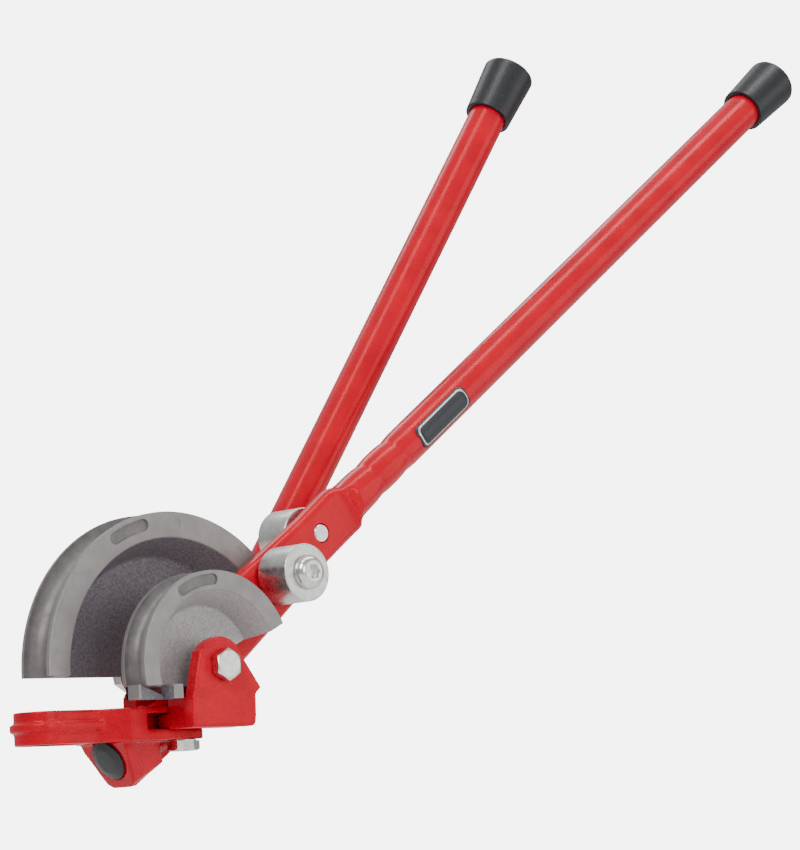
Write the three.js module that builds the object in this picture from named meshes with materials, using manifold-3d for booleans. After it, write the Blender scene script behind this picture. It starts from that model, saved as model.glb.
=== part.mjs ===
// Hand-operated tube bender for 15 mm and 22 mm pipe, modelled piece by piece.
// Units are millimetres and +Z is up. The origin is the centre of the pivot bolt head's outer face.
// The bending axis runs along +Y from there, and the half-round formers face up and to the left (-X).
import * as THREE from "three";
import { mergeVertices } from "three/addons/utils/BufferGeometryUtils.js";
import Module from "manifold-3d";

const wasm = await Module();
wasm.setup();

// ---- driving dimensions ----
const GAP = 0.3; // between pieces that touch on the real tool
const RUNNING = 0.15; // radial clearance of a faceted shaft in a faceted hole
const DEG = Math.PI / 180;

// Layers along the bending axis, from the bolt head's outer face backwards
const HEX_HEAD = 6.4; // M10 head height
const EAR_FRONT = HEX_HEAD + 0.2;
const EAR_BACK = EAR_FRONT + 8.6;
const SMALL_FRONT = 9.1;
const SMALL_BACK = 31.5;
const SHIM = 1.4; // thrust washers
const LEVER_FRONT = SMALL_BACK + SHIM + 2 * GAP + 0.1;
const LEVER_THICK = 13;
const LEVER_BACK = LEVER_FRONT + LEVER_THICK;
const BIG_FRONT = LEVER_BACK + SHIM + 2 * GAP + 0.1;
const BIG_BACK = BIG_FRONT + 27.8;
const REAR_EAR_FRONT = BIG_BACK + 0.8;
const REAR_EAR_BACK = REAR_EAR_FRONT + 13.7;
const PIVOT_WASHER = 2;
const NUT_HEIGHT = 10;

// Pivot bolt, M10
const BOLT_R = 5;
const HEX_CORNER = 9.8; // half the distance across corners of a 17 mm hexagon

// Formers: rim radius, pipe radius, inner edge of the flange, web edge, hub
const SMALL = { rim: 56.5, pipe: 7.5, flange: 44.9, web: 36.5, hub: 9.5, front: SMALL_FRONT, back: SMALL_BACK };
SMALL.hubFront = EAR_BACK + GAP;
SMALL.webThick = 5;
SMALL.flat = -11; // level of the flat underside
SMALL.end = 26; // angle of the cut end above +X, degrees
const BIG = { rim: 95.5, pipe: 11, flange: 79.8, web: 70, hub: 11, front: BIG_FRONT, back: BIG_BACK };
BIG.hubFront = BIG_FRONT;
BIG.webThick = 6;
BIG.flat = -2;
BIG.end = 32;
const RIM_CHAMFER = 0.8;

// Foot under the small former, which hooks the 15 mm pipe
const FOOT = { left: -61.5, right: -28.6, bottom: -18.8, depth: 12, wall: 1.8, post: 7 };
const SLOT = { long: 14, high: 5.5, below: 0.3 }; // three-cornered opening in the foot's back wall

// Frame casting
const BLOCK = { left: -50, right: 3, front: 31.5, back: 88, top: -22.3, bottom: -41.8 };
const WINDOW = { left: -38, depth: 14.6, top: -26, bottom: -35.3 };
const LOOP = { x: -91.3, y: 62.5, outer: 17.3, inner: 12.6, start: -64 };
const RIB = { proud: 2.4, low: -34.2, high: -29.4 };
const REAR_EAR = { left: -10.5, right: 12, round: 12 };

// Handles: 1 inch tube
const TUBE_R = 12.7;
const TUBE_WALL = 1.6;
const SOCKET_R = 16;
const SOCKET_ANGLE = 28; // slope of the fixed handle's lower end, degrees
const SOCKET_START = new THREE.Vector3(-45, 62, -51.5);
const SOCKET_LENGTH = 38;
const LUG_LENGTH = 26;
const HANDLE_ANGLE = 54.7; // slope of the fixed handle's upper part, degrees
const HANDLE_FOOT = new THREE.Vector3(70.8, 103.5, 0); // where its axis crosses the level of the pivot
const HANDLE_LENGTH = 499; // from there to the tube's end
const BEND = { start: 42, end: 5, pull: 32 }; // from the socket's mouth, past the handle's foot, curve handles
const CAP = { length: 41, mouthR: 15.7, endR: 17.6, depth: 36, fillet: 3 };

// Lever, drawn with the pivot at its origin and its tube along +X
const LEVER_ANGLE = 36;
const LEVER_OFFSET = 4; // tube axis and rollers above the line from the pivot
const LEVER_END = 693;
const LEVER_EYE = 21.5; // radius round the pivot
const FLAT_END = 168; // end of the flattened stretch
const FLAT_ROUND = 4.5; // rounding of the flattened tube's edges
const ROLLER_R = 17.65;
const FRONT_ROLLER_AT = 88.3;
const REAR_ROLLER_AT = 134.5;
const ROLLER_LENGTH = 25.8;
const ROLLER_SPACER = 1.2;
const AXLE_R = 6;
const BUTTON_R = 10.5;
const BUTTON_HEIGHT = 6.2;
const SOCKET_HEX = 4.6; // half the distance across corners of an 8 mm key
const BUSH_R = 7.5;

// Front bracket, seen from the front: its outline as X, Z corners
const EAR = [
  [-24, -36.3],
  [-24, -27],
  [-23, -18],
  [-19.6, -2.8],
  [-16.2, 8.8],
];
const EAR_TOP_R = 17;
const EAR_RIGHT = [
  [12.4, 9.8],
  [28.9, -13.6],
  [24.8, -16.8],
  [23.9, -33],
  [22.9, -35.4],
  [20.6, -36.3],
];
const TONGUE = { top: -26.9, bottom: -35, left: -23.5, right: 20, reach: 14, chamfer: 5 };
const PLATFORM = { right: 22, top: -18.2, back: 31 };
const BRACKET_BOLT = { x: -6.4, y: 39.5, length: 13.5 };

const ROUND = 32; // facets of a full turn on small round parts
const FORMER_ROUND = 84;
const TUBE_SIDES = 24;
const BEND_STEPS = 14;

// ---- small tools ----

// A manifold-3d solid from a three.js geometry.
function solid(geometry) {
  const g = geometry.index ? geometry.toNonIndexed() : geometry.clone();
  g.deleteAttribute("normal");
  g.deleteAttribute("uv");
  const merged = mergeVertices(g, 1e-4);
  const corners = merged.index.array;
  const kept = [];
  for (let i = 0; i < corners.length; i += 3) {
    const [a, b, c] = [corners[i], corners[i + 1], corners[i + 2]];
    if (a !== b && b !== c && c !== a) kept.push(a, b, c); // a lathe's pole leaves empty triangles
  }
  const tri = new Uint32Array(kept);
  const make = () =>
    new wasm.Manifold(
      new wasm.Mesh({ numProp: 3, vertProperties: merged.attributes.position.array, triVerts: tri }),
    );
  const first = make();
  if (first.volume() > 0) return first;
  for (let i = 0; i < tri.length; i += 3) [tri[i + 1], tri[i + 2]] = [tri[i + 2], tri[i + 1]];
  return make();
}

// A three.js geometry from a manifold-3d solid.
function geometryOf(made) {
  const mesh = made.getMesh();
  const positions = new Float32Array(mesh.numVert * 3);
  for (let i = 0; i < mesh.numVert; i++)
    positions.set(mesh.vertProperties.subarray(i * mesh.numProp, i * mesh.numProp + 3), i * 3);
  const g = new THREE.BufferGeometry();
  g.setAttribute("position", new THREE.BufferAttribute(positions, 3));
  g.setIndex(new THREE.BufferAttribute(mesh.triVerts, 1));
  g.computeVertexNormals();
  return g;
}

const join = (...solids) => solids.reduce((a, b) => a.add(b));
const cut = (body, ...tools) => tools.reduce((a, b) => a.subtract(b), body);

function shapeOf(points) {
  return new THREE.Shape(points.map(([x, y]) => new THREE.Vector2(x, y)));
}

// A prism of an X, Z outline between two depths along Y.
function prismY(shape, y0, y1, bevel = 0) {
  const g = new THREE.ExtrudeGeometry(shape, {
    depth: y1 - y0 - 2 * bevel,
    bevelEnabled: bevel > 0,
    bevelThickness: bevel,
    bevelSize: bevel,
    bevelOffset: -bevel,
    bevelSegments: 3,
    curveSegments: 10,
  });
  g.rotateX(Math.PI / 2);
  g.translate(0, y1 - bevel, 0);
  return solid(g);
}

// A prism of an X, Y outline between two heights along Z.
function prismZ(shape, z0, z1) {
  const g = new THREE.ExtrudeGeometry(shape, { depth: z1 - z0, bevelEnabled: false, curveSegments: 20 });
  g.translate(0, 0, z0);
  return solid(g);
}

function box(x0, x1, y0, y1, z0, z1) {
  const g = new THREE.BoxGeometry(x1 - x0, y1 - y0, z1 - z0);
  g.translate((x0 + x1) / 2, (y0 + y1) / 2, (z0 + z1) / 2);
  return solid(g);
}

// A cylinder along Y between two depths, at X, Z.
function rod(r, y0, y1, x = 0, z = 0, sides = ROUND) {
  const g = new THREE.CylinderGeometry(r, r, y1 - y0, sides);
  g.translate(x, (y0 + y1) / 2, z);
  return solid(g);
}

// A turned body about Y, from a closed profile of radius and depth.
function turned(profile, sides = ROUND) {
  const closed = [...profile, profile[0]].map(([r, y]) => new THREE.Vector2(r, y));
  return solid(new THREE.LatheGeometry(closed, sides));
}

// Puts a body made along +Y at a point, turned to run along a direction.
function along(geometry, start, direction) {
  geometry.applyQuaternion(
    new THREE.Quaternion().setFromUnitVectors(new THREE.Vector3(0, 1, 0), direction.clone().normalize()),
  );
  geometry.translate(start.x, start.y, start.z);
  return geometry;
}

// ---- materials ----
const paint = () => new THREE.MeshStandardMaterial({ color: 0xcc0018, roughness: 0.25, metalness: 0 });
const castAluminium = () => new THREE.MeshStandardMaterial({ color: 0x8f8b89, roughness: 0.5, metalness: 0.8 });
const zincSteel = () => new THREE.MeshStandardMaterial({ color: 0xc9cac6, roughness: 0.3, metalness: 1 });
const rubber = () => new THREE.MeshStandardMaterial({ color: 0x2b2d33, roughness: 0.6, metalness: 0 });
const bronze = () => new THREE.MeshStandardMaterial({ color: 0xa9824e, roughness: 0.4, metalness: 1 });

function node(name, made, material) {
  const mesh = new THREE.Mesh(made.isBufferGeometry ? made : geometryOf(made), material);
  mesh.name = name;
  return mesh;
}

// ---- formers ----

// One half-round former: a grooved rim, a deep pocket in front, a thin web at the back and a hub,
// turned about the bending axis.
function formerBody(f) {
  const middle = (f.front + f.back) / 2;
  const webFront = f.back - f.webThick;
  const groove = [];
  const steps = 9;
  for (let i = 0; i <= steps; i++) {
    const a = (Math.PI * i) / steps;
    groove.push([f.rim - f.pipe * Math.sin(a), middle - f.pipe * Math.cos(a)]);
  }
  const ring = turned(
    [
      [BOLT_R + RUNNING, f.hubFront],
      [f.hub, f.hubFront],
      [f.hub, webFront],
      [f.web, webFront],
      [f.flange, f.front],
      [f.rim - RIM_CHAMFER, f.front],
      [f.rim, f.front + RIM_CHAMFER],
      ...groove,
      [f.rim, f.back - RIM_CHAMFER],
      [f.rim - RIM_CHAMFER, f.back],
      [BOLT_R + RUNNING, f.back],
    ],
    FORMER_ROUND,
  );
  // The kept part: above the flat underside, up to the radial cut end, with the whole hub.
  const reach = f.rim + 5;
  const end = f.end * DEG;
  const keep = prismY(
    shapeOf([
      [-reach, f.flat],
      [0, f.flat],
      [0, 0],
      [reach * Math.cos(end), reach * Math.sin(end)],
      [reach * Math.cos(end), reach],
      [-reach, reach],
    ]),
    f.front - 1,
    f.back + 1,
  );
  const hub = rod(f.hub + 0.01, f.front - 1, f.back + 1);
  return ring.intersect(join(keep, hub));
}

// The open box under the small former's left end that hooks the 15 mm pipe.
function foot() {
  const { left, right, bottom, depth, wall, post } = FOOT;
  const front = SMALL_FRONT + 0.1;
  const outer = box(left, right, front, front + depth, bottom, SMALL.flat + 1);
  const hollow = box(left + wall, right - post, front - 1, front + depth - wall, bottom - 1, SMALL.flat);
  const slot = prismY(
    shapeOf([
      [right - post - SLOT.long, SMALL.flat - SLOT.below],
      [right - post, SMALL.flat - SLOT.below],
      [right - post, SMALL.flat - SLOT.high],
    ]),
    front + depth - wall - 1,
    front + depth + 1,
  );
  return cut(outer, hollow, slot);
}

function smallFormer() {
  return node("small_former", join(formerBody(SMALL), foot()), castAluminium());
}

function bigFormer() {
  return node("big_former", formerBody(BIG), castAluminium());
}

// ---- frame ----

// Direction of the fixed handle's lower end, inside the frame's socket.
const socketDirection = new THREE.Vector3(Math.cos(SOCKET_ANGLE * DEG), 0, Math.sin(SOCKET_ANGLE * DEG));

// A cylinder along the socket's axis, between two distances from its mouth.
function socketRod(r, from, to, sides = ROUND) {
  const g = new THREE.CylinderGeometry(r, r, to - from, sides);
  g.translate(0, (from + to) / 2, 0);
  return solid(along(g, SOCKET_START, socketDirection));
}

// The ring that the 22 mm pipe's tail passes through, with a rib round its outside.
function stirrup() {
  const outline = (grow) => {
    const s = new THREE.Shape();
    const r = LOOP.outer + grow;
    s.moveTo(LOOP.start + 16, LOOP.y - r);
    s.lineTo(LOOP.start + 16, LOOP.y + r);
    s.lineTo(LOOP.x, LOOP.y + r);
    s.absarc(LOOP.x, LOOP.y, r, Math.PI / 2, 1.5 * Math.PI, false);
    return s;
  };
  const flare = shapeOf([
    [BLOCK.left + 1, BLOCK.front],
    [BLOCK.left, BLOCK.front],
    [LOOP.start, LOOP.y - LOOP.outer],
    [LOOP.start - 1, LOOP.y],
    [BLOCK.left + 1, LOOP.y],
  ]);
  return join(
    prismZ(outline(0), BLOCK.bottom, BLOCK.top),
    prismZ(outline(RIB.proud), RIB.low, RIB.high),
    prismZ(flare, BLOCK.bottom, BLOCK.top),
  );
}

// The hole through the stirrup, from the block's end to the round end.
function stirrupHole() {
  const s = new THREE.Shape();
  const x = LOOP.start - 4;
  s.moveTo(x, LOOP.y - LOOP.inner);
  s.lineTo(x, LOOP.y + LOOP.inner);
  s.lineTo(LOOP.x, LOOP.y + LOOP.inner);
  s.absarc(LOOP.x, LOOP.y, LOOP.inner, Math.PI / 2, 1.5 * Math.PI, false);
  return prismZ(s, BLOCK.bottom - 1, BLOCK.top + 1);
}

// The V-shaped lug under the block round the handle socket, square to the socket's axis.
function lug() {
  const halfTop = 21;
  const halfFoot = 10;
  const down = 19;
  const s = shapeOf([
    [-halfTop, 12],
    [-halfTop, 6],
    [-halfTop * 0.86, -2],
    [-halfFoot - 3, -down + 2.5],
    [-halfFoot + 1, -down],
    [halfFoot - 1, -down],
    [halfFoot + 3, -down + 2.5],
    [halfTop * 0.86, -2],
    [halfTop, 6],
    [halfTop, 12],
  ]);
  const g = new THREE.ExtrudeGeometry(s, { depth: LUG_LENGTH, bevelEnabled: false });
  // The outline's X becomes the row's Y, and its depth runs along the socket's axis.
  g.applyMatrix4(
    new THREE.Matrix4().makeBasis(
      new THREE.Vector3(0, 1, 0),
      new THREE.Vector3(-socketDirection.z, 0, socketDirection.x),
      socketDirection,
    ),
  );
  g.translate(SOCKET_START.x, SOCKET_START.y, SOCKET_START.z);
  const footX = SOCKET_START.x + down * socketDirection.z;
  const footZ = SOCKET_START.z - down * socketDirection.x;
  const rising = [
    [footX + 2, footZ - 1],
    [footX + 3, footZ + 0.6],
    [footX + 30, footZ + 19.8],
    [footX + 37, footZ + 23.5],
    [footX + 38, BLOCK.bottom],
    [footX + 38, BLOCK.bottom + 2],
  ];
  const left = SOCKET_START.x - 20;
  const side = shapeOf([[left, BLOCK.bottom + 2], [left, footZ - 1], ...rising]);
  const keel = prismY(
    shapeOf([
      [SOCKET_START.x, BLOCK.bottom + 2],
      [SOCKET_START.x, SOCKET_START.z],
      [footX, footZ + 0.6],
      ...rising.slice(1),
    ]),
    SOCKET_START.y - halfFoot,
    SOCKET_START.y + halfFoot,
  );
  const broad = solid(g).intersect(prismY(side, SOCKET_START.y - 40, SOCKET_START.y + 40));
  return join(broad, keel);
}

// The rear ear, which carries the pivot bolt behind the big former.
function rearEar() {
  const s = new THREE.Shape();
  const { left, right, round } = REAR_EAR;
  s.moveTo(left, BLOCK.bottom);
  s.lineTo(left, -14);
  s.absarc(0, 0, round, 231 * DEG, 0, true);
  s.lineTo(right, -10);
  s.lineTo(4, -20);
  s.lineTo(4, BLOCK.bottom);
  return prismY(s, REAR_EAR_FRONT, REAR_EAR_BACK);
}

function frameCasting() {
  const body = join(
    box(BLOCK.left, BLOCK.right, BLOCK.front, BLOCK.back, BLOCK.bottom, BLOCK.top),
    stirrup(),
    lug(),
    socketRod(SOCKET_R, 2, SOCKET_LENGTH),
    rearEar(),
  );
  const windowY = BLOCK.front + WINDOW.depth;
  const made = cut(
    body,
    stirrupHole(),
    handleBar(TUBE_R + GAP, 5),
    box(WINDOW.left, BLOCK.right + 1, BLOCK.front - 1, windowY, WINDOW.bottom, WINDOW.top),
    rod(BOLT_R + RUNNING, REAR_EAR_FRONT - 1, REAR_EAR_BACK + 1),
    prismZ(circle(BRACKET_BOLT.x, BRACKET_BOLT.y, BOLT_R + RUNNING), BLOCK.bottom - 1, WINDOW.bottom + 1),
    rod(PIN.r + RUNNING, PIN.y0 - GAP, BLOCK.back + 1, PIN.x, PIN.z, 24),
  );
  return node("frame_casting", made, paint());
}

function circle(x, y, r) {
  return new THREE.Shape().absarc(x, y, r, 0, 2 * Math.PI, false);
}

// Cross pin that holds the fixed handle in its socket, driven in from the back.
const PIN_AT = 24;
const PIN = {
  r: 3,
  y0: SOCKET_START.y - TUBE_R - 1.5,
  y1: BLOCK.back - 1,
  x: SOCKET_START.x + PIN_AT * socketDirection.x,
  z: SOCKET_START.z + PIN_AT * socketDirection.z,
};

function handlePin() {
  return node("handle_cross_pin", rod(PIN.r, PIN.y0, PIN.y1, PIN.x, PIN.z, 24), zincSteel());
}

// The front ear with its platform and the tongue that slides into the frame's window.
function frontBracket() {
  const s = new THREE.Shape();
  s.moveTo(...EAR[0]);
  EAR.slice(1).forEach((p) => s.lineTo(...p));
  s.absarc(-0.5, 0, EAR_TOP_R, 148 * DEG, 36 * DEG, true);
  EAR_RIGHT.forEach((p) => s.lineTo(...p));
  const ear = prismY(s, EAR_FRONT, EAR_BACK);
  const { left, right, top, bottom, reach, chamfer } = TONGUE;
  const buried = EAR_FRONT + 1; // platform and tongue start inside the ear
  const platform = box(left, PLATFORM.right, buried, PLATFORM.back, bottom - 1, PLATFORM.top);
  const tip = BLOCK.front + reach;
  const tongue = prismZ(
    shapeOf([
      [left, buried],
      [right, buried],
      [right, tip],
      [left + chamfer, tip],
      [left, tip - chamfer],
    ]),
    bottom,
    top,
  );
  const boltHole = prismZ(circle(BRACKET_BOLT.x, BRACKET_BOLT.y, BOLT_R + RUNNING), bottom - 1, top + 1);
  const made = cut(join(ear, platform, tongue), rod(BOLT_R + RUNNING, 0, EAR_BACK + 1), boltHole);
  return node("front_bracket", made, paint());
}

// ---- fasteners on the frame ----

// A hexagon head bolt along +Y from the origin: head, washer face and plain shank.
function hexBolt(headHeight, length) {
  const head = rod(HEX_CORNER, 0, headHeight, 0, 0, 6);
  const shape = turned(
    [
      [0, 0],
      [8.6, 0],
      [HEX_CORNER + 0.2, 0.8],
      [HEX_CORNER + 0.2, headHeight],
      [0, headHeight],
    ],
    36,
  );
  return join(head.intersect(shape), rod(BOLT_R, headHeight - 0.1, headHeight + length, 0, 0, ROUND));
}

function pivotBolt() {
  const end = REAR_EAR_BACK + GAP + PIVOT_WASHER + GAP + NUT_HEIGHT + 2.5;
  return node("pivot_bolt", hexBolt(HEX_HEAD, end - HEX_HEAD), zincSteel());
}

// A flat ring between two depths, about the bending axis or one parallel to it.
function ring(outer, inner, y0, y1, x = 0, z = 0) {
  return cut(rod(outer, y0, y1, x, z), rod(inner, y0 - 1, y1 + 1, x, z));
}

function pivotWasher() {
  const y0 = REAR_EAR_BACK + GAP;
  return node("pivot_washer", ring(10, BOLT_R + RUNNING, y0, y0 + PIVOT_WASHER), zincSteel());
}

function pivotNut() {
  const y0 = REAR_EAR_BACK + GAP + PIVOT_WASHER + GAP;
  const flats = NUT_HEIGHT - 2.4;
  const body = join(
    rod(HEX_CORNER, y0, y0 + flats, 0, 0, 6),
    rod(7.6, y0 + flats - 0.1, y0 + NUT_HEIGHT),
  );
  return node("pivot_lock_nut", cut(body, rod(BOLT_R + RUNNING, y0 - 1, y0 + NUT_HEIGHT + 1)), zincSteel());
}

function bracketBolt() {
  const mesh = node("bracket_bolt", hexBolt(HEX_HEAD, BRACKET_BOLT.length), zincSteel());
  mesh.position.set(BRACKET_BOLT.x, BRACKET_BOLT.y, BLOCK.bottom - GAP - HEX_HEAD);
  mesh.rotation.x = Math.PI / 2;
  return mesh;
}

// ---- fixed handle ----

const handleDirection = new THREE.Vector3(Math.cos(HANDLE_ANGLE * DEG), 0, Math.sin(HANDLE_ANGLE * DEG));

const at = (origin, direction, s) => origin.clone().addScaledVector(direction, s);
const BEND_START = at(SOCKET_START, socketDirection, BEND.start);
const BEND_END = at(HANDLE_FOOT, handleDirection, BEND.end);

// A solid bar of one radius along the handle: straight in the socket, bent outwards past the big
// former, then straight. It overruns both ends of the tube by the given length.
function handleBar(r, overrun) {
  const straight = (from, direction, length) => {
    const g = new THREE.CylinderGeometry(r, r, length, TUBE_SIDES);
    g.translate(0, length / 2, 0);
    return solid(along(g, from, direction));
  };
  const bend = new THREE.CubicBezierCurve3(
    BEND_START,
    at(BEND_START, socketDirection, BEND.pull),
    at(BEND_END, handleDirection, -BEND.pull),
    BEND_END,
  );
  const section = new THREE.Shape().absarc(0, 0, r, 0, 2 * Math.PI, false);
  const swept = new THREE.ExtrudeGeometry(section, {
    steps: BEND_STEPS,
    curveSegments: TUBE_SIDES / 2,
    extrudePath: bend,
  });
  const lap = 0.5;
  return join(
    straight(
      at(SOCKET_START, socketDirection, GAP - overrun),
      socketDirection,
      BEND.start - GAP + overrun + lap,
    ),
    solid(swept),
    straight(
      at(BEND_END, handleDirection, -lap),
      handleDirection,
      HANDLE_LENGTH - BEND.end + lap + overrun,
    ),
  );
}

function fixedHandle() {
  const pinHole = rod(PIN.r + RUNNING, PIN.y0 - 3, PIN.y1 + 3, PIN.x, PIN.z, 24);
  return node("fixed_handle", cut(handleBar(TUBE_R, 0), handleBar(TUBE_R - TUBE_WALL, 2), pinHole), paint());
}

// A moulded end cap along +Y whose mouth is at the origin, open to take a tube.
function endCap() {
  const { length, mouthR, endR, depth, fillet } = CAP;
  const inner = TUBE_R + GAP;
  return turned([
    [inner, 0],
    [mouthR - 0.5, 0],
    [mouthR, 0.5],
    [endR, length - fillet],
    [endR - fillet * 0.3, length - fillet * 0.3],
    [endR - fillet, length],
    [0, length],
    [0, depth],
    [inner, depth],
  ]);
}

function fixedHandleCap() {
  const start = HANDLE_FOOT.clone().addScaledVector(handleDirection, HANDLE_LENGTH - CAP.depth + 1);
  return node("fixed_handle_cap", along(geometryOf(endCap()), start, handleDirection), rubber());
}

// The domed plug that closes the fixed handle's lower end.
function socketPlug() {
  const r = TUBE_R - 0.1;
  const stem = TUBE_R - TUBE_WALL - GAP;
  const made = turned([
    [0, -3.2],
    [r * 0.55, -2.7],
    [r * 0.88, -1.6],
    [r, -0.2],
    [r, 0],
    [stem, 0],
    [stem, 12],
    [stem - 2, 12],
    [stem - 2, 1.5],
    [0, 1.5],
  ]);
  return node("handle_end_plug", along(geometryOf(made), SOCKET_START, socketDirection), rubber());
}

// ---- lever, drawn flat with its tube along +X; its group turns it up ----

// Outline of the flattened stretch, from the pivot eye to the shoulders.
function flatOutline(inset) {
  const s = new THREE.Shape();
  const eye = LEVER_EYE - inset;
  s.absarc(0, 0, eye, 105 * DEG, 262 * DEG, false);
  s.lineTo(40, -21 + inset);
  s.lineTo(85, -18.4 + inset);
  s.lineTo(129, -14 + inset);
  s.lineTo(FLAT_END - 4, -13.8 + inset);
  s.lineTo(FLAT_END - inset, -10 + inset);
  s.lineTo(FLAT_END - 2 - inset, 17);
  s.lineTo(FLAT_END - 8 - inset, 20.6 - inset);
  s.lineTo(123, 19.8 - inset);
  s.lineTo(85, 21 - inset);
  s.lineTo(50, 22.6 - inset);
  return s;
}

// A cylinder along the lever between two distances from the pivot.
function leverRod(r, from, to) {
  const g = new THREE.CylinderGeometry(r, r, to - from, ROUND);
  g.rotateZ(-Math.PI / 2);
  g.translate((from + to) / 2, (LEVER_FRONT + LEVER_BACK) / 2, LEVER_OFFSET);
  return solid(g);
}

function leverArm() {
  const wall = TUBE_WALL + 0.4;
  const outside = join(
    prismY(flatOutline(0), LEVER_FRONT, LEVER_BACK, FLAT_ROUND),
    leverRod(TUBE_R, FLAT_END - 12, LEVER_END),
  );
  const inside = join(
    prismY(flatOutline(wall), LEVER_FRONT + wall, LEVER_BACK - wall),
    leverRod(TUBE_R - TUBE_WALL, FLAT_END - 10, LEVER_END + 1),
  );
  const eyeBoss = rod(BUSH_R + 3, LEVER_FRONT + 1, LEVER_BACK - 1);
  const made = cut(
    join(cut(outside, inside), eyeBoss),
    rod(BUSH_R + RUNNING, LEVER_FRONT - 1, LEVER_BACK + 1),
    rod(AXLE_R + RUNNING, LEVER_FRONT - 1, LEVER_BACK + 1, FRONT_ROLLER_AT, LEVER_OFFSET),
    rod(AXLE_R + RUNNING, LEVER_FRONT - 1, LEVER_BACK + 1, REAR_ROLLER_AT, LEVER_OFFSET),
  );
  return node("lever_arm", made, paint());
}

function leverCap() {
  const start = new THREE.Vector3(
    LEVER_END - CAP.depth + 1,
    (LEVER_FRONT + LEVER_BACK) / 2,
    LEVER_OFFSET,
  );
  return node("lever_cap", along(geometryOf(endCap()), start, new THREE.Vector3(1, 0, 0)), rubber());
}

function pivotBush() {
  const y0 = LEVER_FRONT - GAP;
  const y1 = LEVER_BACK + GAP;
  return node("pivot_bush", ring(BUSH_R, BOLT_R + RUNNING, y0, y1), bronze());
}

// The two thrust washers between the lever and the formers.
function thrustWasher(name, y0) {
  return node(name, ring(12, BOLT_R + RUNNING, y0, y0 + SHIM), zincSteel());
}

// A roller with chamfered rims about its own axis.
function roller(name, at, y0) {
  const y1 = y0 + ROLLER_LENGTH;
  const c = 0.8;
  const made = turned([
    [AXLE_R + RUNNING, y0],
    [ROLLER_R - c, y0],
    [ROLLER_R, y0 + c],
    [ROLLER_R, y1 - c],
    [ROLLER_R - c, y1],
    [AXLE_R + RUNNING, y1],
  ]);
  const mesh = node(name, made, zincSteel());
  mesh.position.set(at, 0, LEVER_OFFSET);
  return mesh;
}

// A button head socket screw along +Y from its head's crown, which is at the origin.
function buttonScrew(length) {
  const profile = [[0, 0]];
  const steps = 6;
  const flat = 5.5;
  for (let i = 0; i <= steps; i++) {
    const a = ((Math.PI / 2) * i) / steps;
    profile.push([flat + (BUTTON_R - flat) * Math.sin(a), BUTTON_HEIGHT * (1 - Math.cos(a)) * 0.9]);
  }
  profile.push([BUTTON_R, BUTTON_HEIGHT], [AXLE_R, BUTTON_HEIGHT], [AXLE_R, length], [0, length]);
  return cut(turned(profile), rod(SOCKET_HEX, -1, BUTTON_HEIGHT * 0.6, 0, 0, 6));
}

// Length from the button head's crown to the far face of the lever.
const AXLE_LENGTH = BUTTON_HEIGHT + GAP + ROLLER_LENGTH + 2 * GAP + ROLLER_SPACER + LEVER_THICK;

function axle(name, at, fromBack) {
  const mesh = node(name, buttonScrew(AXLE_LENGTH), zincSteel());
  mesh.position.set(at, fromBack ? LEVER_FRONT + AXLE_LENGTH : LEVER_BACK - AXLE_LENGTH, LEVER_OFFSET);
  if (fromBack) mesh.rotation.x = Math.PI;
  return mesh;
}

function spacer(name, at, y0) {
  return node(name, ring(9.5, AXLE_R + RUNNING, y0, y0 + ROLLER_SPACER, at, LEVER_OFFSET), zincSteel());
}

// ---- assembly ----
const lever = new THREE.Group();
lever.rotation.y = -LEVER_ANGLE * DEG;
lever.add(
  leverArm(),
  leverCap(),
  pivotBush(),
  spacer("front_roller_spacer", FRONT_ROLLER_AT, LEVER_FRONT - GAP - ROLLER_SPACER),
  spacer("rear_roller_spacer", REAR_ROLLER_AT, LEVER_BACK + GAP),
  roller("front_roller", FRONT_ROLLER_AT, LEVER_FRONT - 2 * GAP - ROLLER_SPACER - ROLLER_LENGTH),
  roller("rear_roller", REAR_ROLLER_AT, LEVER_BACK + 2 * GAP + ROLLER_SPACER),
  axle("front_roller_axle", FRONT_ROLLER_AT, false),
  axle("rear_roller_axle", REAR_ROLLER_AT, true),
);

const bender = new THREE.Group();
bender.add(
  frameCasting(),
  frontBracket(),
  bracketBolt(),
  handlePin(),
  fixedHandle(),
  fixedHandleCap(),
  socketPlug(),
  smallFormer(),
  bigFormer(),
  pivotBolt(),
  pivotWasher(),
  pivotNut(),
  thrustWasher("front_thrust_washer", SMALL_BACK + GAP),
  thrustWasher("rear_thrust_washer", LEVER_BACK + GAP + 0.1),
  lever,
);

export default bender;
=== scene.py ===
"""Finishes a hand-operated tube bender: its turned, cast, bent and moulded pieces."""

import math

import bmesh
import bpy
from mathutils import Matrix, Vector


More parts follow.
